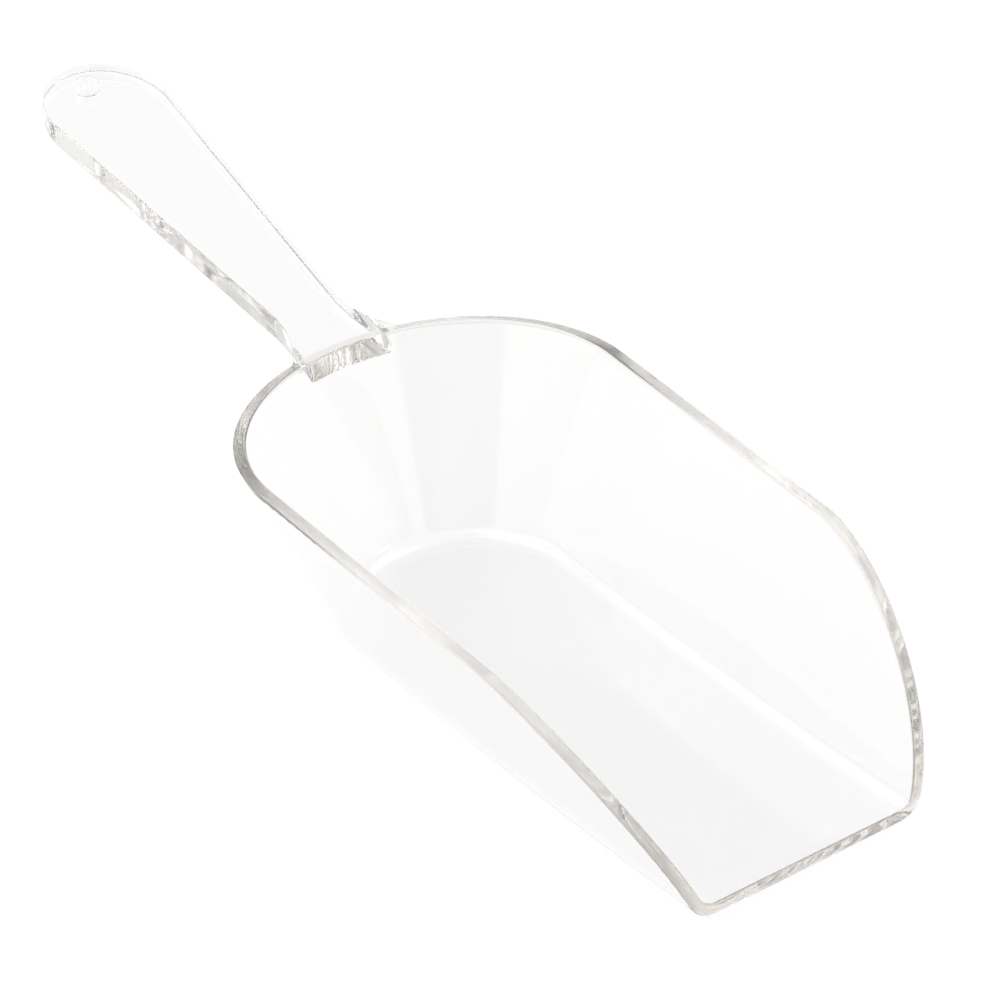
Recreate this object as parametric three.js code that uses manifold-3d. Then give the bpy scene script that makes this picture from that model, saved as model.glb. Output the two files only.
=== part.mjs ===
// A clear ice scoop: a flat-bottomed bowl with flared walls, a raised straight lip and a solid, flat,
// tapered handle with a hanging hole. The real scoop is one injection moulding, so
// each mesh is one region of that moulding, and neighbouring regions stand a small gap apart.
// Millimetres and degrees. X runs across the scoop, +Y towards the handle's end and +Z up. The origin is
// at the middle of the bounding box's base.
import * as THREE from "three";
import { mergeVertices } from "three/addons/utils/BufferGeometryUtils.js";
import Module from "manifold-3d";

const wasm = await Module();
wasm.setup();

// Driving dimensions. Distances along the bowl are measured from the lip's front edge.
const GAP = 0.3; // between neighbouring regions
const WALL = 3.2; // wall thickness, measured level
const FLOOR = 3.2; // floor thickness
const LIP_HALF = 28.5; // half width inside, at the lip
const REAR_RADIUS = 30.3; // plan radius of the floor's round rear
const REAR_CENTRE = 145.4; // from the lip to that radius's centre
const SIDE_DRAFT = 20.25; // side walls' lean outwards
const BACK_DRAFT = 17; // back wall's lean, at its middle
const CORNER_RADIUS = 4; // inside, where the walls meet the floor
const MOUTH_LENGTH = 55; // over which the rim climbs from the lip
const MOUTH_POWER = 1.68; // roundness of that climb: 2 is an ellipse
const MOUTH_HEIGHT = 49.2; // rim above the floor where the climb ends
const BACK_HEIGHT = 54.6; // rim above the floor at the back
const LIFT = 3.8; // how far the lip stands off the table
const LIFT_LENGTH = 105; // over which the floor rises to it
const TILT = 11.6; // handle's rise towards its end
const GRIP = 7; // thickness of the handle, which is solid
const NECK_AT = 17.5; // along the handle, to its narrowest place
const NECK_HALF = 9.4; // half width there
const FLARE_RADIUS = 26; // plan radius that blends the neck into the rim
const FLARE_HALF = 19; // half width at which the flare is cut off
const END_AT = 125.4; // along the handle, to where its sides end
const END_HALF = 17.5; // half width there
const END_LENGTH = 22.2; // length of the round end
const HOLE_RADIUS = 3.2;
const HOLE_FROM_END = 9; // from the hole's centre to the handle's end

// Worked out from them.
const FLOOR_LENGTH = REAR_CENTRE + REAR_RADIUS;
const RIM_REACH = BACK_HEIGHT * tanDegrees(BACK_DRAFT) + WALL;
const HANDLE_LENGTH = END_AT + END_LENGTH;
const ROOT_Y = FLOOR_LENGTH + RIM_REACH;
const ROOT_Z = FLOOR + BACK_HEIGHT;
const TOTAL_LENGTH =
  ROOT_Y + HANDLE_LENGTH * Math.cos(radians(TILT)) + GRIP * Math.sin(radians(TILT));
const MID_Y = TOTAL_LENGTH / 2;
const TAPER =
  Math.atan2(REAR_CENTRE, LIP_HALF) - Math.acos(REAR_RADIUS / Math.hypot(LIP_HALF, REAR_CENTRE));
const SIDE_LENGTH = REAR_CENTRE - REAR_RADIUS * Math.sin(TAPER);

// Segments of the faceted solids.
const MOUTH_STEPS = 14;
const SIDE_STEPS = 6;
const BACK_STEPS = 32;
const HEIGHT_STEPS = 8;
const LIFT_STEPS = 10;
const CURVE_STEPS = 24;
const CROWDING = 2.5; // how strongly the walls' rows crowd towards the floor
const LIP_ANGLE = 0.06; // where the mouth's curve starts, in radians, so that the wall has some height

// The block that cuts the neck back to the bowl's outer surface: where it starts and ends round the
// foot line, how far it reaches inwards, and how far it stands above the rim.
const CUT_FROM = 1.3;
const CUT_TO = 2.7;
const CUT_DEPTH = 20;
const CUT_ABOVE = 12;
const NECK_FRONT = -15; // along the handle, where the neck's uncut outline starts

const CLEAR_PLASTIC = {
  color: 0xeeeeec,
  roughness: 0.06,
  metalness: 0,
  transparent: true,
  opacity: 0.35,
};

function radians(degrees) {
  return THREE.MathUtils.degToRad(degrees);
}

function tanDegrees(degrees) {
  return Math.tan(radians(degrees));
}

// Geometry with only positions, and its shared corners merged.
function welded(geometry) {
  const flat = geometry.index ? geometry.toNonIndexed() : geometry;
  const bare = new THREE.BufferGeometry();
  bare.setAttribute("position", flat.getAttribute("position"));
  const merged = mergeVertices(bare, 1e-4);
  merged.computeVertexNormals();
  return merged;
}

// A box of the given segments, bent so that place(u, v, w) is each of its points.
function bentBox(stepsU, stepsV, stepsW, place) {
  const geometry = new THREE.BoxGeometry(1, 1, 1, stepsU, stepsV, stepsW);
  const position = geometry.getAttribute("position");
  const unit = new THREE.Vector3();
  for (let i = 0; i < position.count; i++) {
    unit.fromBufferAttribute(position, i).addScalar(0.5);
    const placed = place(unit.x, unit.y, unit.z);
    position.setXYZ(i, placed.x, placed.y, placed.z);
  }
  return welded(geometry);
}

function toSolid(geometry) {
  const mesh = new wasm.Mesh({
    numProp: 3,
    vertProperties: geometry.getAttribute("position").array,
    triVerts: new Uint32Array(geometry.index.array),
  });
  return new wasm.Manifold(mesh);
}

function fromSolid(solid) {
  const mesh = solid.getMesh();
  const geometry = new THREE.BufferGeometry();
  geometry.setAttribute("position", new THREE.BufferAttribute(mesh.vertProperties, 3));
  geometry.setIndex(new THREE.BufferAttribute(mesh.triVerts, 1));
  geometry.computeVertexNormals();
  return geometry;
}

function extruded(shape, depth) {
  const settings = { depth, bevelEnabled: false, curveSegments: CURVE_STEPS };
  return welded(new THREE.ExtrudeGeometry(shape, settings));
}

// The line where the floor would meet the walls without a corner radius. Its places run from the lip
// rearwards along the right side (0 to 1), round the rear (1 to 3) and forwards along the left (3 to 4).
function footLine(place) {
  const side = place <= 2 ? 1 : -1;
  const half = place <= 2 ? place : 4 - place;
  if (half <= 1) {
    const y = SIDE_LENGTH * half;
    return {
      x: side * (LIP_HALF + y * Math.tan(TAPER)),
      y,
      normalX: side * Math.cos(TAPER),
      normalY: -Math.sin(TAPER),
    };
  }
  const angle = -TAPER + (half - 1) * (Math.PI / 2 + TAPER);
  return {
    x: side * REAR_RADIUS * Math.cos(angle),
    y: REAR_CENTRE + REAR_RADIUS * Math.sin(angle),
    normalX: side * Math.cos(angle),
    normalY: Math.sin(angle),
  };
}

function draftAt(foot) {
  const rearward = Math.max(foot.normalY, 0) ** 2;
  return radians(SIDE_DRAFT + (BACK_DRAFT - SIDE_DRAFT) * rearward);
}

// The rim's height above the floor, at a distance from the lip.
function rimHeight(y) {
  const along = (y - MOUTH_LENGTH) / (FLOOR_LENGTH - MOUTH_LENGTH);
  const line = MOUTH_HEIGHT + (BACK_HEIGHT - MOUTH_HEIGHT) * along;
  const ahead = Math.max((MOUTH_LENGTH - y) / MOUTH_LENGTH, 0);
  return line * (1 - ahead ** MOUTH_POWER) ** (1 / MOUTH_POWER);
}

function floorLift(y) {
  return LIFT * Math.max(1 - y / LIFT_LENGTH, 0) ** 2;
}

// From the foot line inwards to where the corner radius starts.
function cornerReach(draft) {
  return (CORNER_RADIUS * (1 - Math.sin(draft))) / Math.cos(draft);
}

// How far the wall's surface leans out from the foot line, at a height above the surface's own base.
function leanOut(height, draft, radius, straight) {
  if (height < radius * (1 - Math.sin(draft))) {
    return Math.sqrt(radius ** 2 - (radius - height) ** 2) - cornerReach(draft);
  }
  return straight + height * Math.tan(draft);
}

function insideLean(height, draft) {
  return leanOut(height, draft, CORNER_RADIUS, 0);
}

function outsideLean(height, draft) {
  const straight = WALL - FLOOR * Math.tan(draft);
  const reach = cornerReach(draft) + straight;
  const radius = (reach * Math.cos(draft)) / (1 - Math.sin(draft));
  return leanOut(height, draft, radius, straight);
}

// A point of the wall: share is the part of its height, and outside is true on the outer surface. The
// point can also stand further out, and the wall further up, than the real one.
function wallPoint(place, share, outside, further = 0, taller = 0) {
  const foot = footLine(place);
  const draft = draftAt(foot);
  const top = rimHeight(foot.y) + taller;
  const height = share * (outside ? top + FLOOR : top);
  const lean = (outside ? outsideLean(height, draft) : insideLean(height, draft)) + further;
  const aboveFloor = outside ? Math.max(height - FLOOR, 0) : height;
  const base = outside ? 0 : FLOOR;
  return new THREE.Vector3(
    foot.x + foot.normalX * lean,
    foot.y + foot.normalY * lean - MID_Y,
    base + height + floorLift(foot.y) * Math.max(1 - aboveFloor / MOUTH_HEIGHT, 0),
  );
}

// Heights crowd towards the floor, where the corner radius is.
function crowded(share) {
  return share ** CROWDING;
}

// A side wall's places crowd towards the lip, where the rim climbs steeply.
function sidePlace(share) {
  const mouthShare = MOUTH_STEPS / (MOUTH_STEPS + SIDE_STEPS);
  if (share < mouthShare) {
    const angle = THREE.MathUtils.lerp(LIP_ANGLE, Math.PI / 2, share / mouthShare);
    return (MOUTH_LENGTH * (1 - Math.cos(angle) ** (2 / MOUTH_POWER))) / SIDE_LENGTH;
  }
  const back = (share - mouthShare) / (1 - mouthShare);
  const y = THREE.MathUtils.lerp(MOUTH_LENGTH, SIDE_LENGTH - GAP / 2, back);
  return y / SIDE_LENGTH;
}

function sideWall(side) {
  return bentBox(MOUTH_STEPS + SIDE_STEPS, HEIGHT_STEPS, 1, (u, v, w) => {
    const place = side > 0 ? sidePlace(u) : 4 - sidePlace(1 - u);
    return wallPoint(place, crowded(v), w > 0.5);
  });
}

function backWall() {
  const margin = GAP / 2 / REAR_RADIUS;
  return bentBox(BACK_STEPS, HEIGHT_STEPS, 1, (u, v, w) => {
    const place = THREE.MathUtils.lerp(1 + margin, 3 - margin, u);
    return wallPoint(place, crowded(v), w > 0.5);
  });
}

// The floor's half width between the walls' corner radii.
function floorHalf(y) {
  return LIP_HALF + y * Math.tan(TAPER) - cornerReach(radians(SIDE_DRAFT)) - GAP;
}

function frontLip() {
  return bentBox(1, LIFT_STEPS, 1, (u, v, w) => {
    const y = v * LIFT_LENGTH;
    const x = (2 * u - 1) * floorHalf(y);
    return new THREE.Vector3(x, y - MID_Y, floorLift(y) + w * FLOOR);
  });
}

function bowlFloor() {
  const reach = cornerReach(radians(BACK_DRAFT)) + GAP;
  const start = LIFT_LENGTH + GAP - MID_Y;
  const shape = new THREE.Shape();
  shape.moveTo(-floorHalf(LIFT_LENGTH), start);
  shape.lineTo(floorHalf(LIFT_LENGTH), start);
  shape.absarc(0, REAR_CENTRE - MID_Y, REAR_RADIUS - reach, 0, Math.PI, false);
  shape.closePath();
  return extruded(shape, FLOOR);
}

// The handle's own frame: its origin is on the rim's outer edge at the back, Y runs along the handle and
// Z is square to its upper face, which is at zero.
const handleFrame = new THREE.Matrix4()
  .makeRotationX(radians(TILT))
  .setPosition(0, ROOT_Y - MID_Y, ROOT_Z);

function handleHalf(along) {
  const share = (along - NECK_AT) / (END_AT - NECK_AT);
  return THREE.MathUtils.lerp(NECK_HALF, END_HALF, share);
}

// An outline in the handle's plan as a solid of the handle's full thickness.
function slab(shape) {
  return extruded(shape, GRIP).translate(0, 0, -GRIP);
}

function handleGrip() {
  const end = END_AT - GAP;
  const shape = new THREE.Shape();
  shape.moveTo(-handleHalf(NECK_AT), NECK_AT);
  shape.lineTo(handleHalf(NECK_AT), NECK_AT);
  shape.lineTo(handleHalf(end), end);
  shape.lineTo(-handleHalf(end), end);
  shape.closePath();
  return slab(shape);
}

// The rounded end, with the hanging hole.
function handleEnd() {
  const shape = new THREE.Shape();
  shape.absellipse(0, END_AT, END_HALF, END_LENGTH, 0, Math.PI, false, 0);
  shape.closePath();
  const hole = new THREE.Path();
  hole.absarc(0, HANDLE_LENGTH - HOLE_FROM_END, HOLE_RADIUS, 0, 2 * Math.PI, false);
  shape.holes.push(hole);
  return slab(shape);
}

// The neck in plan: its sides curve outwards to the flare's full width, and its front end lies inside
// the bowl, to be cut away.
function neckShape() {
  const centreX = NECK_HALF + FLARE_RADIUS;
  const flareEnd = Math.acos((centreX - FLARE_HALF) / FLARE_RADIUS);
  const back = NECK_AT - GAP;
  const shape = new THREE.Shape();
  shape.moveTo(-NECK_HALF, back);
  shape.absarc(-centreX, back, FLARE_RADIUS, 0, -flareEnd, true);
  shape.lineTo(-FLARE_HALF, NECK_FRONT);
  shape.lineTo(FLARE_HALF, NECK_FRONT);
  shape.absarc(centreX, back, FLARE_RADIUS, Math.PI + flareEnd, Math.PI, true);
  shape.closePath();
  return shape;
}

// Everything inside the bowl's outer surface at the back, and the gap round it.
function bowlEnvelope() {
  return bentBox(BACK_STEPS, HEIGHT_STEPS, 1, (u, v, w) => {
    const place = THREE.MathUtils.lerp(CUT_FROM, CUT_TO, u);
    return wallPoint(place, crowded(v), true, w > 0.5 ? GAP : -CUT_DEPTH, CUT_ABOVE);
  });
}

// The solid neck, which meets the bowl's round back wall.
function handleNeck() {
  const block = toSolid(slab(neckShape()).applyMatrix4(handleFrame));
  return fromSolid(block.subtract(toSolid(bowlEnvelope())));
}

function region(name, geometry) {
  const mesh = new THREE.Mesh(geometry, new THREE.MeshStandardMaterial(CLEAR_PLASTIC));
  mesh.name = name;
  return mesh;
}

const bowl = new THREE.Group();
bowl.add(region("bowl_floor", bowlFloor()));
bowl.add(region("front_lip", frontLip()));
bowl.add(region("right_side_wall", sideWall(1)));
bowl.add(region("left_side_wall", sideWall(-1)));
bowl.add(region("back_wall", backWall()));

const handle = new THREE.Group();
handle.applyMatrix4(handleFrame);
handle.add(region("handle_grip", handleGrip()));
handle.add(region("handle_end", handleEnd()));

const group = new THREE.Group();
group.add(bowl, handle, region("handle_neck", handleNeck()));

export default group;
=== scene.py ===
import math

import bmesh
import bpy
import numpy as np
from mathutils import Matrix, Vector


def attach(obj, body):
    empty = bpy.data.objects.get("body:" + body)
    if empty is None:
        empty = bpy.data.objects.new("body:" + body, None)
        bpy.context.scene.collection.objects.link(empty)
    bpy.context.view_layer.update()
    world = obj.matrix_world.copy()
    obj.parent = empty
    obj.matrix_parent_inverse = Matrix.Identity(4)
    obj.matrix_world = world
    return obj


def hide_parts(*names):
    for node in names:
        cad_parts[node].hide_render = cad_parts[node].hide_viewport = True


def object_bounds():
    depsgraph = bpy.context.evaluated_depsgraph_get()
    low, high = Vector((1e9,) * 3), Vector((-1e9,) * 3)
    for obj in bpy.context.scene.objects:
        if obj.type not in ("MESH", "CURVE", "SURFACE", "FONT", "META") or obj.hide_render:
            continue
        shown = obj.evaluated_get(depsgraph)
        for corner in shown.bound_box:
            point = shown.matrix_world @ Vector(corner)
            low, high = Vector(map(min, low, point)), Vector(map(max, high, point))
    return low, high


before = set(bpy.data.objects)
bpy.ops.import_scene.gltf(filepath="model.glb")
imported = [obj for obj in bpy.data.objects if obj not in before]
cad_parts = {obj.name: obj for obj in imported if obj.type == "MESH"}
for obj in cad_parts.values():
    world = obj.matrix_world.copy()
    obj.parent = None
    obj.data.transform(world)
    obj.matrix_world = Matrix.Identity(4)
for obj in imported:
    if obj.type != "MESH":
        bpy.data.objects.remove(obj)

cad_low, cad_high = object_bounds()

MM = 0.001

# Driving dimensions, as in the CAD. Distances along the bowl start at the lip's front edge.
WALL = 3.2 * MM
FLOOR = 3.2 * MM
LIP_HALF = 28.5 * MM
REAR_RADIUS = 30.3 * MM
REAR_CENTRE = 145.4 * MM
SIDE_DRAFT = 20.25  # degrees
BACK_DRAFT = 17.0  # degrees, in the middle of the rear
CORNER_RADIUS = 4.0 * MM
MOUTH_LENGTH = 55.0 * MM
MOUTH_POWER = 1.68  # 2 would make the mouth a quarter of an ellipse
MOUTH_HEIGHT = 49.2 * MM
BACK_HEIGHT = 54.6 * MM
LIFT = 3.8 * MM  # of the lip above the table
LIFT_LENGTH = 105.0 * MM
TILT = math.radians(11.6)
GRIP = 7.0 * MM
NECK_AT = 17.5 * MM
NECK_HALF = 9.4 * MM
END_AT = 125.4 * MM
END_HALF = 17.5 * MM
END_LENGTH = 22.2 * MM
HOLE_RADIUS = 3.2 * MM
HOLE_FROM_END = 9.0 * MM

# Finer shape that only the visual model has.
EDGE = 0.55 * MM  # rounding of the rim, the mouth and the lip
TOP_EDGE = 0.5 * MM  # rounding of the handle's upper edges
LOWER_EDGE = 0.5 * MM  # rounding of its lower edges
HOLE_EDGE = 0.3 * MM  # rounding of the hanging hole's mouths
INTO_WALL = 1.6 * MM  # how far the handle's root reaches into the back wall
ROOT_HALF = 18.0 * MM  # half width of the handle's root at the rim
ROOT_FLARE = 1.5 * MM  # how much of that is the last flare into the rim
ROOT_FOOT_HALF = 12.6 * MM  # half width of the root at the handle's lower edge
ROOT_DEPTH = 6.2 * MM  # thickness of the root at the back wall
FLARE_POWER = 6.0  # how quickly the last flare dies away below the rim
ROOT_SWEEP = math.radians(50)  # turn of the flare from the neck to the rim
SIDE_UPRIGHT = 0.3  # a face of the handle is a side if its normal leans less than this towards the top
MID_HEIGHT = 30.0 * MM  # on the mouth's curve, where rows give way to columns
SPINE_REACH = 0.4  # the part of a round end that its middle places reach into
SPINE_POWER = 1.2  # how they bunch towards that end
SHARP_ANGLE = math.radians(40)  # shading is smooth over flatter edges than this

# Small lengths that the script's own sums need.
SLOPE_STEP = 0.01 * MM  # to measure a curve's slope over
SAME_POINT = 1e-5 * MM  # two grid points closer than this are one
WELD = 2e-4 * MM  # vertices closer than this are joined
HOLE_OVERLAP = 0.02 * MM  # how far the hole's cutter stands out of the face that it cuts
HOLE_CLEAR = 1.0 * MM  # how far past the handle it reaches

# Finishes, in the order of the moulding's materials.
POLISHED, CUT_EDGE = 0, 1

# Segments: the steps that each stretch of surface is cut into.
CORNER_STEPS = 8
WALL_STEPS = 16
MOUTH_STEPS = 16
SIDE_STEPS = 18
REAR_STEPS = 28
FLOOR_STEPS = 8
EDGE_STEPS = 5
HANDLE_TOP_STEPS = 8
FACE_STEPS = 10
NECK_STEPS = 28
HANDLE_STEPS = 24
END_STEPS = 24
HOLE_STEPS = 64
FLOOR_SEGMENTS = 96
RIM_ROUNDS = 40  # rounds of solving for a place on the mouth's curve
WALL_ROUNDS = 12  # rounds of solving for a place on the round back wall
MOST_SINE = 0.99  # as far round the back wall as that solving may reach

# Worked out from the driving dimensions.
FLOOR_LENGTH = REAR_CENTRE + REAR_RADIUS
ROOT_Y = FLOOR_LENGTH + BACK_HEIGHT * math.tan(math.radians(BACK_DRAFT)) + WALL
ROOT_Z = FLOOR + BACK_HEIGHT
HANDLE_LENGTH = END_AT + END_LENGTH
LIP_Y = cad_low.y
# The sides' angle in plan, which makes them run smoothly into the round rear.
TAPER = math.atan2(REAR_CENTRE, LIP_HALF) - math.acos(REAR_RADIUS / math.hypot(LIP_HALF, REAR_CENTRE))
SIDE_LENGTH = REAR_CENTRE - REAR_RADIUS * math.sin(TAPER)


def lerp(a, b, share):
    return a + (b - a) * share


# ---- The bowl's surfaces ----


def side_foot(y):
    """A point of the line where floor and side wall would meet with no corner radius, and its normal."""
    return LIP_HALF + y * math.tan(TAPER), y, math.cos(TAPER), -math.sin(TAPER)


def rear_foot(angle):
    """The same on the round rear, at an angle from +X."""
    x = REAR_RADIUS * math.cos(angle)
    y = REAR_CENTRE + REAR_RADIUS * math.sin(angle)
    return x, y, math.cos(angle), math.sin(angle)


def draft_at(foot):
    return math.radians(SIDE_DRAFT + (BACK_DRAFT - SIDE_DRAFT) * max(foot[3], 0) ** 2)


def rim_line(y):
    return lerp(MOUTH_HEIGHT, BACK_HEIGHT, (y - MOUTH_LENGTH) / (FLOOR_LENGTH - MOUTH_LENGTH))


def rim_height(y):
    ahead = max((MOUTH_LENGTH - y) / MOUTH_LENGTH, 0)
    return rim_line(y) * (1 - ahead**MOUTH_POWER) ** (1 / MOUTH_POWER)


def rim_place(height):
    """How far from the lip the rim has this height above the floor."""
    if height <= 0:
        return 0.0
    y = 0.0
    for _ in range(RIM_ROUNDS):
        share = min(height / rim_line(y), 1)
        y = MOUTH_LENGTH * (1 - (1 - share**MOUTH_POWER) ** (1 / MOUTH_POWER))
    return y


def floor_lift(y):
    return LIFT * max(1 - y / LIFT_LENGTH, 0) ** 2


def corner_reach(draft):
    """How far inside the foot line the corner radius starts, on the floor."""
    return CORNER_RADIUS * (1 - math.sin(draft)) / math.cos(draft)


def corner_of(draft, outside):
    """The surface's corner radius, and how far it stands off the inner surface's line at its base."""
    if not outside:
        return CORNER_RADIUS, 0.0
    straight = WALL - FLOOR * math.tan(draft)
    return (corner_reach(draft) + straight) * math.cos(draft) / (1 - math.sin(draft)), straight


def lean_out(height, draft, outside):
    """How far outside the foot line a surface is, at a height above its base."""
    radius, straight = corner_of(draft, outside)
    if height < radius * (1 - math.sin(draft)):
        return math.sqrt(radius**2 - (radius - height) ** 2) - corner_reach(draft)
    return straight + height * math.tan(draft)


def wall_point(foot, height, outside):
    """The wall's point over a foot, at a height above the surface's base."""
    lean = lean_out(height, draft_at(foot), outside)
    above_floor = max(height - FLOOR, 0) if outside else height
    base = 0 if outside else FLOOR
    lift = floor_lift(foot[1]) * max(1 - above_floor / MOUTH_HEIGHT, 0)
    return np.array([foot[0] + foot[2] * lean, foot[1] + foot[3] * lean + LIP_Y, base + height + lift])


def corner_heights(draft, outside):
    radius, _ = corner_of(draft, outside)
    turns = np.linspace(0, math.pi / 2 - draft, CORNER_STEPS + 1)
    return radius * (1 - np.cos(turns))


def row_heights(draft, outside, top):
    """Heights of a column's rows: the corner radius, then the straight wall up to top."""
    corner = corner_heights(draft, outside)
    straight = lerp(corner[-1], top, np.arange(1, WALL_STEPS + 1) / WALL_STEPS)
    return np.concatenate([corner, straight])


def inward(tangent):
    """In the side view, square to the edge's run and into the wall."""
    run = np.array(tangent) / np.hypot(*tangent)
    return np.array([run[1], -run[0]])


def mouth_edge(outside):
    """The mouth's edge from the lip up to MID_HEIGHT: each row's place on it, and the way into the wall."""
    below = FLOOR if outside else 0.0
    heights = row_heights(math.radians(SIDE_DRAFT), outside, MID_HEIGHT + below)
    edge, ways = [], []
    for height in heights:
        above = height - below
        edge.append(np.array([rim_place(above), height]))
        run = rim_place(above + SLOPE_STEP) - rim_place(above - SLOPE_STEP)
        ways.append(inward((run if above > 0 else 0.0, 2 * SLOPE_STEP)))
    return edge, ways


def rim_edge(y, outside):
    """The rim's place in the side view, and the way into the wall."""
    run = (rim_height(y + SLOPE_STEP) - rim_height(y - SLOPE_STEP)) / (2 * SLOPE_STEP)
    place = np.array([y, rim_height(y) + (FLOOR if outside else 0)])
    return place, inward((1.0, run))


class Surface:
    """Half of the bowl's inner or outer surface, on the right side. It has a column of wall rows and a row
    of floor places for each step from the lip round to the middle of the rear. Its border is the lip, the
    mouth and the rim: sharp_border() gives that border's corner points, and soft_border() the surface's
    own border, which stops short of them by the edge's rounding."""

    def __init__(self, outside):
        self.outside = outside
        self.columns = []
        self.spine = []
        self.sharp_wall = []
        self.mouth()
        self.side_and_rear()
        self.floor()

    def mouth(self):
        outside = self.outside
        draft = math.radians(SIDE_DRAFT)
        edge, ways = mouth_edge(outside)
        self.sharp_mouth = [wall_point(side_foot(e[0]), e[1], outside) for e in edge]
        left = [e + EDGE * w for e, w in zip(edge, ways)]
        start = edge[-1][0]
        rows = len(left)
        corner = corner_heights(draft, outside)
        for j in range(MOUTH_STEPS):
            share = j / MOUTH_STEPS
            y_top = lerp(start, MOUTH_LENGTH, share)
            if j == 0:
                top = left[-1]
            else:
                place, way = rim_edge(y_top, outside)
                top = place + EDGE * way
                self.sharp_wall.append(wall_point(side_foot(place[0]), place[1], outside))
            across_top = (top[0] - left[-1][0]) / (MOUTH_LENGTH - left[-1][0])
            column = []
            for i in range(rows):
                up = max(i - CORNER_STEPS, 0) / WALL_STEPS
                across = lerp(share, across_top, up)
                own = corner[min(i, CORNER_STEPS)]
                height = lerp(own, top[1], up)
                height += (1 - across) * (left[i][1] - lerp(own, left[-1][1], up))
                y = lerp(left[i][0], MOUTH_LENGTH, across)
                column.append(wall_point(side_foot(y), max(height, 0.0), outside))
            self.columns.append(column)
            self.spine.append(lerp(left[0][0], MOUTH_LENGTH, share))

    def side_and_rear(self):
        feet = [(side_foot(y), y) for y in np.linspace(MOUTH_LENGTH, SIDE_LENGTH, SIDE_STEPS + 1)[:-1]]
        spine_end = REAR_CENTRE + SPINE_REACH * REAR_RADIUS
        for step in range(REAR_STEPS + 1):
            share = step / REAR_STEPS
            angle = lerp(-TAPER, math.pi / 2, share)
            feet.append((rear_foot(angle), lerp(SIDE_LENGTH, spine_end, share**SPINE_POWER)))
        for foot, spine in feet:
            place, way = rim_edge(foot[1], self.outside)
            self.sharp_wall.append(wall_point(foot, place[1], self.outside))
            heights = row_heights(draft_at(foot), self.outside, place[1] - EDGE)
            self.columns.append([wall_point(foot, h, self.outside) for h in heights])
            self.spine.append(spine)

    def floor(self):
        base = 0 if self.outside else FLOOR
        self.floor_rows = []
        for column, y in zip(self.columns, self.spine):
            middle = np.array([0, y + LIP_Y, base + floor_lift(y)])
            row = [lerp(middle, column[0], k / FLOOR_STEPS) for k in range(FLOOR_STEPS + 1)]
            self.floor_rows.append(row)

    def soft_border(self):
        top = [column[-1] for column in self.columns[1:]]
        return self.floor_rows[0] + self.columns[0][1:] + top

    def sharp_border(self):
        corner = self.sharp_mouth[0]
        middle = np.array([0, corner[1], corner[2]])
        lip = [lerp(middle, corner, k / FLOOR_STEPS) for k in range(FLOOR_STEPS + 1)]
        return lip + self.sharp_mouth[1:] + self.sharp_wall


def rounded(start, corner, end, steps=EDGE_STEPS):
    """Points from start to end, round a corner that they would otherwise meet at."""
    shares = [k / steps for k in range(steps + 1)]
    return [(1 - t) ** 2 * start + 2 * t * (1 - t) * corner + t**2 * end for t in shares]


def edge_band(inner, outer):
    """The rim, mouth and lip: for each place on the border, a line across the wall with rounded corners."""
    lines = []
    borders = (inner.soft_border(), inner.sharp_border(), outer.soft_border(), outer.sharp_border())
    for soft_in, sharp_in, soft_out, sharp_out in zip(*borders):
        across = (sharp_out - sharp_in) / np.linalg.norm(sharp_out - sharp_in)
        near = rounded(soft_in, sharp_in, sharp_in + EDGE * across)
        far = rounded(sharp_out - EDGE * across, sharp_out, soft_out)
        lines.append(near + [lerp(near[-1], far[0], 0.5)] + far)
    return lines


# ---- Meshes from grids of points ----


def add_grid(mesh, grid, finish=POLISHED):
    """Quads between a grid's points, and triangles where two neighbours are one point."""
    made = [[mesh.verts.new(point) for point in line] for line in grid]
    for line, after in zip(made, made[1:]):
        for k in range(len(line) - 1):
            ring = [line[k], line[k + 1], after[k + 1], after[k]]
            kept = [v for n, v in enumerate(ring) if (v.co - ring[n - 1].co).length > SAME_POINT]
            if len(kept) >= 3:
                mesh.faces.new(kept).material_index = finish


def mirrored(grid):
    return [[point * np.array([-1, 1, 1]) for point in line] for line in grid]


def object_from(mesh, name):
    bmesh.ops.remove_doubles(mesh, verts=mesh.verts, dist=WELD)
    loose = [v for v in mesh.verts if not v.link_faces]
    bmesh.ops.delete(mesh, geom=loose, context="VERTS")
    bmesh.ops.recalc_face_normals(mesh, faces=mesh.faces)
    data = bpy.data.meshes.new(name)
    mesh.to_mesh(data)
    mesh.free()
    made = bpy.data.objects.new(name, data)
    bpy.context.scene.collection.objects.link(made)
    return made


def bowl():
    inner, outer = Surface(False), Surface(True)
    mesh = bmesh.new()
    band = edge_band(inner, outer)
    add_grid(mesh, band, CUT_EDGE)
    add_grid(mesh, mirrored(band), CUT_EDGE)
    for surface in (inner, outer):
        for grid in (surface.columns, surface.floor_rows):
            add_grid(mesh, grid)
            add_grid(mesh, mirrored(grid))
    return object_from(mesh, "bowl")


# ---- The handle ----

handle_frame = Matrix.Translation((0, LIP_Y + ROOT_Y, ROOT_Z)) @ Matrix.Rotation(TILT, 4, "X")


def handle_point(x, along, depth):
    return np.array(handle_frame @ Vector((x, along, -depth)))


def round_wall(x, height_at):
    """Where the round back wall's outer surface is x across: its distance back from the round's centre,
    and its height. height_at(foot) is the height wanted there."""
    turn = 0.0
    for _ in range(WALL_ROUNDS):
        foot = rear_foot(math.pi / 2 - turn)
        height = height_at(foot)
        reach = REAR_RADIUS + lean_out(height, draft_at(foot), True)
        turn = math.asin(min(x / reach, MOST_SINE))
    return reach * math.cos(turn), height


def back_wall_point(x, z):
    """On the outer surface of the round back wall, at a distance across and a height."""
    back, _ = round_wall(x, lambda foot: z)
    return np.array([x, LIP_Y + REAR_CENTRE + back, z])


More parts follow.
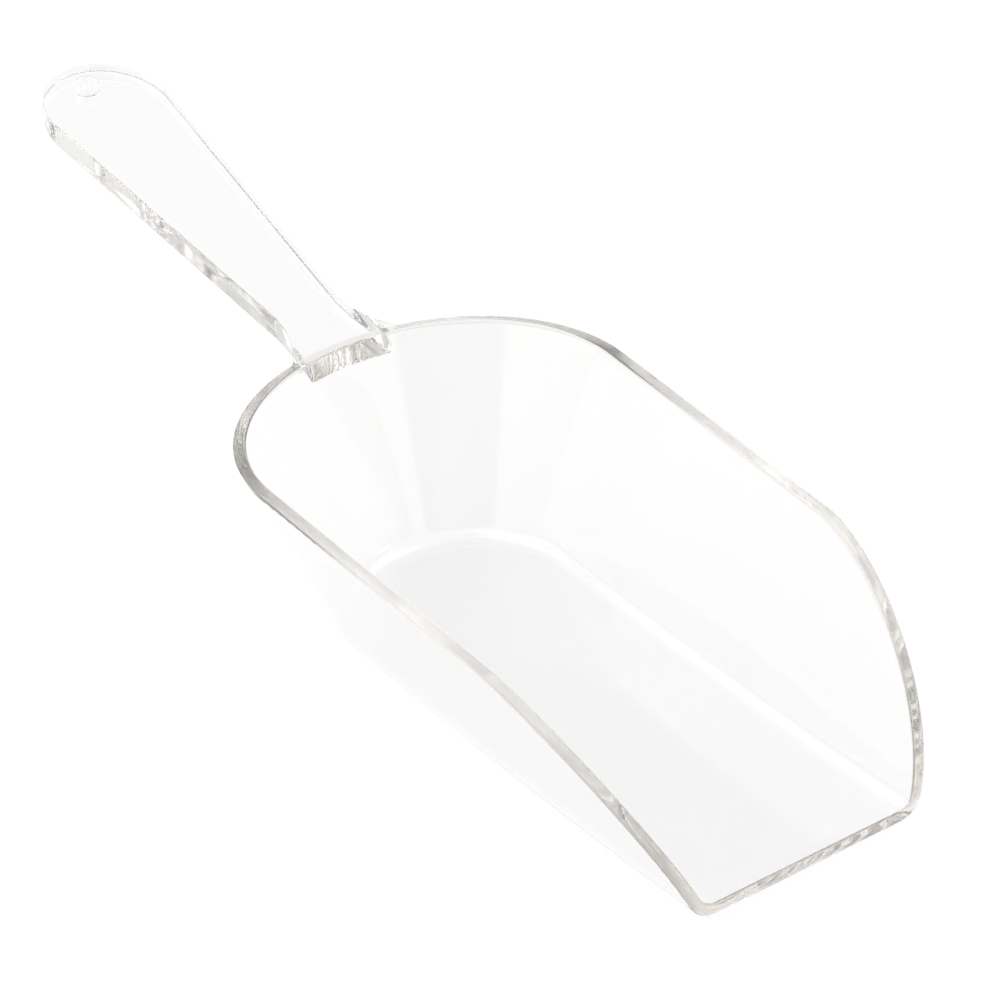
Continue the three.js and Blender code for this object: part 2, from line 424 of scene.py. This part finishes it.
def rim_top(x):
    """The rim's height on the outer surface of the round back wall, at a distance across."""
    _, height = round_wall(x, lambda foot: rim_height(foot[1]) + FLOOR)
    return height


def section_points(place, spine):
    """Half of the handle's section at one place of it, as two lines of points: from the middle of the top,
    and from the middle of the underside, to halfway down the side. place(inset) is the outline's plan point
    at an inset, and spine the middle's place along the handle."""
    lines = []
    for face, edge, to_side in ((0.0, TOP_EDGE, 1), (GRIP, LOWER_EDGE, -1)):
        points = []
        for k in range(HANDLE_TOP_STEPS):
            share = k / HANDLE_TOP_STEPS
            x, along = place(edge)
            points.append(handle_point(x * share, lerp(spine, along, share), face))
        turned = face + to_side * edge
        corner = rounded(np.array([edge, face]), np.array([0.0, face]), np.array([0.0, turned]))
        points += [handle_point(*place(inset), depth) for inset, depth in corner]
        for k in range(1, FACE_STEPS + 1):
            points.append(handle_point(*place(0.0), lerp(turned, GRIP / 2, k / FACE_STEPS)))
        lines.append(points)
    return lines


def straight_section(along):
    share = (along - NECK_AT) / (END_AT - NECK_AT)
    half = lerp(NECK_HALF, END_HALF, share)
    return section_points(lambda inset: (half - inset, along), along)


def end_section(angle):
    out = np.array([math.cos(angle) / END_HALF, math.sin(angle) / END_LENGTH])
    out /= np.hypot(*out)
    edge = np.array([END_HALF * math.cos(angle), END_AT + END_LENGTH * math.sin(angle)])
    spine = END_AT + SPINE_REACH * END_LENGTH * angle / (math.pi / 2)

    def place(inset):
        x, along = edge - out * inset
        return max(x, 0.0), along

    return section_points(place, spine)


def root_outline(depth):
    """Half width of the handle's root on the back wall, at a depth below the rim."""
    share = min(depth / ROOT_DEPTH, 1)
    straight = lerp(ROOT_HALF - ROOT_FLARE, ROOT_FOOT_HALF, share)
    return straight + ROOT_FLARE * (1 - share) ** FLARE_POWER


def root_profile():
    """The handle's section on the back wall, as (x, depth) pairs in the order of section_points()."""
    lines = []
    for face, edge, to_side in ((0.0, TOP_EDGE, 1), (ROOT_DEPTH, LOWER_EDGE, -1)):
        half = root_outline(face)
        line = [(k / HANDLE_TOP_STEPS * (half - edge), face) for k in range(HANDLE_TOP_STEPS)]
        turned = face + to_side * edge
        start, end = np.array([half - edge, face]), np.array([root_outline(turned), turned])
        line += [tuple(point) for point in rounded(start, np.array([half, face]), end)]
        for k in range(1, FACE_STEPS + 1):
            depth = lerp(turned, ROOT_DEPTH / 2, k / FACE_STEPS)
            line.append((root_outline(depth), depth))
        lines.append(line)
    return lines


def neck_sections():
    """From inside the back wall to the neck: every point's line leaves the neck along the handle and
    curves out to the root, as a flare does."""
    neck = straight_section(NECK_AT)
    rise = math.tan(TILT)
    level = handle_point(0, NECK_AT, 0)[2]
    made = []
    for step in range(NECK_STEPS):
        turn = ROOT_SWEEP * (1 - step / NECK_STEPS)
        out = (1 - math.cos(turn)) / (1 - math.cos(ROOT_SWEEP))
        back = math.sin(turn) / math.sin(ROOT_SWEEP)
        lines = []
        for points, profile in zip(neck, root_profile()):
            line = []
            for point, (x, depth) in zip(points, profile):
                top = rim_top(x) - INTO_WALL * rise
                root = back_wall_point(x, top - depth)
                root[1] -= INTO_WALL
                down = lerp(level - point[2], depth, out**2 if depth > 0 else 0)
                y = lerp(point[1], root[1], back)
                z = lerp(level, top, back) - down
                line.append(np.array([lerp(point[0], x, out), y, z]))
            lines.append(line)
        made.append(lines)
    return made


def satin_sides(mesh):
    """Gives the handle's two long sides the cut edges' finish."""
    mesh.normal_update()
    to_handle = handle_frame.inverted()
    for face in mesh.faces:
        centre = to_handle @ face.calc_center_median()
        upright = abs((to_handle.to_3x3() @ face.normal).z)
        if upright < SIDE_UPRIGHT and centre.y < END_AT:
            face.material_index = CUT_EDGE


def handle():
    sections = neck_sections()
    sections += [straight_section(s) for s in np.linspace(NECK_AT, END_AT, HANDLE_STEPS + 1)[:-1]]
    sections += [end_section(a) for a in np.linspace(0, math.pi / 2, END_STEPS + 1)]
    mesh = bmesh.new()
    grids = [[lines[0] for lines in sections], [lines[1] for lines in sections], sections[0]]
    for grid in grids:
        add_grid(mesh, grid)
        add_grid(mesh, mirrored(grid))
    satin_sides(mesh)
    return object_from(mesh, "handle")


def lathed(profile, name):
    """A closed solid round the hanging hole's axis, from (radius, depth) pairs that start and end at 0."""
    centre = HANDLE_LENGTH - HOLE_FROM_END
    mesh = bmesh.new()
    grid = []
    for k in range(HOLE_STEPS + 1):
        turn = 2 * math.pi * (k % HOLE_STEPS) / HOLE_STEPS
        across, along = math.cos(turn), math.sin(turn)
        grid.append([handle_point(r * across, centre + r * along, depth) for r, depth in profile])
    add_grid(mesh, grid)
    return object_from(mesh, name)


def hole_cutter():
    """The hanging hole's solid, with its mouths' rounding, to be cut from the handle."""
    mouth = HOLE_RADIUS + HOLE_EDGE
    profile = [(0.0, -HOLE_CLEAR), (mouth, -HOLE_CLEAR)]
    for face, outwards in ((0.0, -1), (GRIP, 1)):
        start = np.array([mouth, face + outwards * HOLE_OVERLAP])
        end = np.array([HOLE_RADIUS, face - outwards * HOLE_EDGE])
        line = rounded(start, np.array([HOLE_RADIUS, face]), end)
        profile += line if outwards < 0 else line[::-1]
    profile += [(mouth, GRIP + HOLE_CLEAR), (0.0, GRIP + HOLE_CLEAR)]
    return lathed(profile, "hole")


def combined(base, other, operation):
    """base with other joined to it or cut from it; other is used up."""
    step = base.modifiers.new(operation, "BOOLEAN")
    step.operation = operation
    step.solver = "EXACT"
    step.object = other
    graph = bpy.context.evaluated_depsgraph_get()
    data = bpy.data.meshes.new_from_object(base.evaluated_get(graph), depsgraph=graph)
    base.modifiers.clear()
    base.data = data
    bpy.data.objects.remove(other)
    return base


def moulding(finishes):
    """The whole scoop: the handle with its hole, joined to the bowl."""
    parts = [handle(), hole_cutter(), bowl()]
    for part in parts:
        for finish in finishes:
            part.data.materials.append(finish)
    grip = combined(parts[0], parts[1], "DIFFERENCE")
    whole = combined(parts[2], grip, "UNION")
    whole.name = "scoop_moulding"
    whole.data.name = "scoop_moulding"
    whole.data.shade_smooth()
    whole.data.set_sharp_from_angle(angle=SHARP_ANGLE)
    return whole


# ---- Materials ----


PLASTIC_COLOUR = (0.966, 0.965, 0.963, 1)
PLASTIC_IOR = 1.58
DEPTH_COLOUR = (0.80, 0.72, 0.60, 1)  # what a long path through the plastic tends towards
DEPTH_DENSITY = 1.4
# Noises, as (scale, detail): the higher the scale, the finer the noise.
HAZE_NOISE = (60.0, 4.0)
WAVE_NOISE = (45.0, 1.0)
CLOUD_NOISE = (55.0, 4.0)
STREAK_NOISE = (900.0, 3.0)
GRAIN_NOISE = (1400.0, 2.0)
# The span of each noise that counts, and what it makes.
HAZE_SPAN = (0.35, 0.75)
CLOUD_SPAN = (0.35, 0.65)
STREAK_SPAN = (0.3, 0.7)
HAZE_ROUGHNESS = (0.0, 0.015)
STREAK_ROUGHNESS = (0.0, 0.04)
CLOUD_TRANSMISSION = (0.86, 0.98)
WAVE_HEIGHT = 0.02 * MM
WAVE_STRENGTH = 0.06
GRAIN_HEIGHT = 0.01 * MM
GRAIN_STRENGTH = 0.2


def noise(tree, kind):
    """A noise texture over the object's own places."""
    coordinate = tree.nodes.new("ShaderNodeTexCoord")
    texture = tree.nodes.new("ShaderNodeTexNoise")
    texture.inputs["Scale"].default_value, texture.inputs["Detail"].default_value = kind
    tree.links.new(coordinate.outputs["Object"], texture.inputs["Vector"])
    return texture.outputs["Fac"]


def ranged(tree, value, start, end):
    """value mapped from the range start to the range end, each a (low, high) pair."""
    node = tree.nodes.new("ShaderNodeMapRange")
    node.inputs["From Min"].default_value, node.inputs["From Max"].default_value = start
    node.inputs["To Min"].default_value, node.inputs["To Max"].default_value = end
    tree.links.new(value, node.inputs["Value"])
    return node.outputs["Result"]


def bump(tree, height, distance, strength, shader):
    node = tree.nodes.new("ShaderNodeBump")
    node.inputs["Distance"].default_value = distance
    node.inputs["Strength"].default_value = strength
    tree.links.new(height, node.inputs["Height"])
    tree.links.new(node.outputs["Normal"], shader.inputs["Normal"])


def plastic(name):
    """Clear moulded plastic: faintly warm through a long path."""
    material = bpy.data.materials.new(name)
    material.use_nodes = True
    tree = material.node_tree
    shader = tree.nodes["Principled BSDF"]
    shader.inputs["Base Color"].default_value = PLASTIC_COLOUR
    shader.inputs["IOR"].default_value = PLASTIC_IOR
    volume = tree.nodes.new("ShaderNodeVolumeAbsorption")
    volume.inputs["Color"].default_value = DEPTH_COLOUR
    volume.inputs["Density"].default_value = DEPTH_DENSITY
    tree.links.new(volume.outputs["Volume"], tree.nodes["Material Output"].inputs["Volume"])
    return material, tree, shader


def clear_plastic():
    """The polished faces: handling haze in patches, and the mould's very shallow waves."""
    material, tree, shader = plastic("clear_plastic")
    shader.inputs["Transmission Weight"].default_value = 1.0
    haze = ranged(tree, noise(tree, HAZE_NOISE), HAZE_SPAN, HAZE_ROUGHNESS)
    tree.links.new(haze, shader.inputs["Roughness"])
    bump(tree, noise(tree, WAVE_NOISE), WAVE_HEIGHT, WAVE_STRENGTH, shader)
    return material


def cut_edge():
    """The rim, the mouth, the lip and the handle's long sides: less polished than the faces, with fine
    streaks and cloudy stretches."""
    material, tree, shader = plastic("cut_edge")
    clouds = ranged(tree, noise(tree, CLOUD_NOISE), CLOUD_SPAN, CLOUD_TRANSMISSION)
    tree.links.new(clouds, shader.inputs["Transmission Weight"])
    streaks = ranged(tree, noise(tree, STREAK_NOISE), STREAK_SPAN, STREAK_ROUGHNESS)
    tree.links.new(streaks, shader.inputs["Roughness"])
    bump(tree, noise(tree, GRAIN_NOISE), GRAIN_HEIGHT, GRAIN_STRENGTH, shader)
    return material


# ---- Studio ----

FLOOR_RADIUS = 3.0
FLOOR_DROP = 0.2 * MM  # below the scoop's base, so that the two don't share a plane
BOUNCES = 80  # light goes a long way round inside the rim
FLOOR_ALBEDO = 0.15
FLOOR_ROUGHNESS = 0.9
FLOOR_LIGHT = 0.9
# The room's light by height: (sine of the elevation, light), each level giving way to the next.
LEVELS = (
    (0.10, (0.82, 0.80, 0.78)),
    (0.25, (0.68, 0.68, 0.68)),
    (0.60, (0.68, 0.68, 0.68)),
    (0.74, (1.60, 1.60, 1.60)),
    (0.95, (1.60, 1.60, 1.60)),
    (0.98, (0.40, 0.40, 0.40)),
)
# Its patches, each over the ones before: (azimuth, elevation), half width and fade in degrees, light.
PATCHES = (
    ((-32.5, 5.0), 27.0, 6.0, (0.27, 0.26, 0.25)),
    ((0.0, 60.0), 20.0, 15.0, (0.80, 0.80, 0.80)),
    ((-130.0, 42.0), 18.0, 10.0, (1.40, 1.40, 1.40)),
    ((118.0, 48.0), 9.0, 6.0, (1.60, 1.60, 1.60)),
    ((147.0, 46.5), 6.0, 5.0, (0.72, 0.72, 0.72)),
    ((-160.0, 40.0), 4.0, 6.0, (1.60, 1.60, 1.60)),
    ((40.0, 12.0), 7.0, 3.0, (2.00, 2.00, 2.00)),
)


def floor_paper():
    """A lit white table: mostly its own light, so that what stands on it throws hardly any shadow."""
    material = bpy.data.materials.new("floor_paper")
    material.use_nodes = True
    shader = material.node_tree.nodes["Principled BSDF"]
    shader.inputs["Base Color"].default_value = (FLOOR_ALBEDO, FLOOR_ALBEDO, FLOOR_ALBEDO, 1)
    shader.inputs["Roughness"].default_value = FLOOR_ROUGHNESS
    shader.inputs["Specular IOR Level"].default_value = 0.0
    shader.inputs["Emission Color"].default_value = (1, 1, 1, 1)
    shader.inputs["Emission Strength"].default_value = FLOOR_LIGHT
    return material


def studio_floor():
    mesh = bmesh.new()
    bmesh.ops.create_circle(mesh, cap_ends=True, segments=FLOOR_SEGMENTS, radius=FLOOR_RADIUS)
    made = object_from(mesh, "studio_floor")
    made.location.z = -FLOOR_DROP
    made.data.materials.append(floor_paper())
    return made


def facing(azimuth, elevation):
    """The direction at an azimuth and elevation: azimuth 0 is where the bowl's mouth faces, 90 is +X."""
    a, e = math.radians(azimuth), math.radians(elevation)
    return math.sin(a) * math.cos(e), -math.cos(a) * math.cos(e), math.sin(e)


def round_mask(tree, direction, centre, half, fade):
    """1 within half degrees of centre, fading to 0 over the next fade degrees."""
    towards = tree.nodes.new("ShaderNodeVectorMath")
    towards.operation = "DOT_PRODUCT"
    towards.inputs[1].default_value = facing(*centre)
    tree.links.new(direction, towards.inputs[0])
    edge = tree.nodes.new("ShaderNodeMapRange")
    edge.interpolation_type = "SMOOTHSTEP"
    edge.inputs["From Min"].default_value = math.cos(math.radians(half + fade))
    edge.inputs["From Max"].default_value = math.cos(math.radians(half))
    tree.links.new(towards.outputs["Value"], edge.inputs["Value"])
    return edge.outputs["Result"]


MIX_START, MIX_END, MIX_RESULT = 6, 7, 2  # the Mix node's sockets for colours


def blended(tree, share, start, end):
    """From start to end by share: each is a colour, or a socket that gives one."""
    node = tree.nodes.new("ShaderNodeMix")
    node.data_type = "RGBA"
    tree.links.new(share, node.inputs["Factor"])
    for place, value in ((MIX_START, start), (MIX_END, end)):
        socket = node.inputs[place]
        if isinstance(value, tuple):
            socket.default_value = (*value, 1)
        else:
            tree.links.new(value, socket)
    return node.outputs[MIX_RESULT]


def studio_sky():
    """The white room as its light arrives: its levels by height, and its patches over them. Looked at
    directly, it is plain white."""
    world = bpy.data.worlds.new("studio")
    bpy.context.scene.world = world
    world.use_nodes = True
    tree = world.node_tree
    direction = tree.nodes.new("ShaderNodeTexCoord").outputs["Generated"]
    split = tree.nodes.new("ShaderNodeSeparateXYZ")
    tree.links.new(direction, split.inputs["Vector"])
    colour = LEVELS[0][1]
    for (below, _), (above, light) in zip(LEVELS, LEVELS[1:]):
        share = ranged(tree, split.outputs["Z"], (below, above), (0.0, 1.0))
        colour = blended(tree, share, colour, light)
    for centre, half, fade, light in PATCHES:
        colour = blended(tree, round_mask(tree, direction, centre, half, fade), colour, light)
    room = tree.nodes["Background"]
    tree.links.new(colour, room.inputs["Color"])
    plain = tree.nodes.new("ShaderNodeBackground")
    plain.inputs["Color"].default_value = (1, 1, 1, 1)
    path = tree.nodes.new("ShaderNodeLightPath")
    mix = tree.nodes.new("ShaderNodeMixShader")
    tree.links.new(path.outputs["Is Camera Ray"], mix.inputs["Fac"])
    tree.links.new(room.outputs["Background"], mix.inputs[1])
    tree.links.new(plain.outputs["Background"], mix.inputs[2])
    tree.links.new(mix.outputs["Shader"], tree.nodes["World Output"].inputs["Surface"])


# ---- Camera ----

# Degrees and metres; the lens and its sensor in millimetres.
CAMERA_AZIMUTH = -29.80
CAMERA_ELEVATION = 31.48
CAMERA_ROLL = -6.07
CAMERA_DISTANCE = 0.8129
CAMERA_LENS = 121.3
CAMERA_SENSOR = 36.0
CAMERA_NEAR = 0.05
CAMERA_TARGET = Vector((-0.00506, -0.05813, 0.05029))


def camera():
    data = bpy.data.cameras.new("camera")
    data.lens = CAMERA_LENS
    data.sensor_width = CAMERA_SENSOR
    data.clip_start = CAMERA_NEAR
    made = bpy.data.objects.new("camera", data)
    bpy.context.scene.collection.objects.link(made)
    back = Vector(facing(CAMERA_AZIMUTH, CAMERA_ELEVATION))
    turned = back.to_track_quat("Z", "Y") @ Matrix.Rotation(math.radians(CAMERA_ROLL), 3, "Z").to_quaternion()
    made.rotation_mode = "QUATERNION"
    made.rotation_quaternion = turned
    made.location = CAMERA_TARGET + back * CAMERA_DISTANCE
    bpy.context.scene.camera = made


camera()
studio_floor()
studio_sky()
bpy.context.scene.view_settings.view_transform = "Standard"
bpy.context.scene.cycles.max_bounces = BOUNCES
bpy.context.scene.cycles.transmission_bounces = BOUNCES
bpy.context.scene.cycles.glossy_bounces = BOUNCES

scoop = moulding([clear_plastic(), cut_edge()])
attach(scoop, "root")
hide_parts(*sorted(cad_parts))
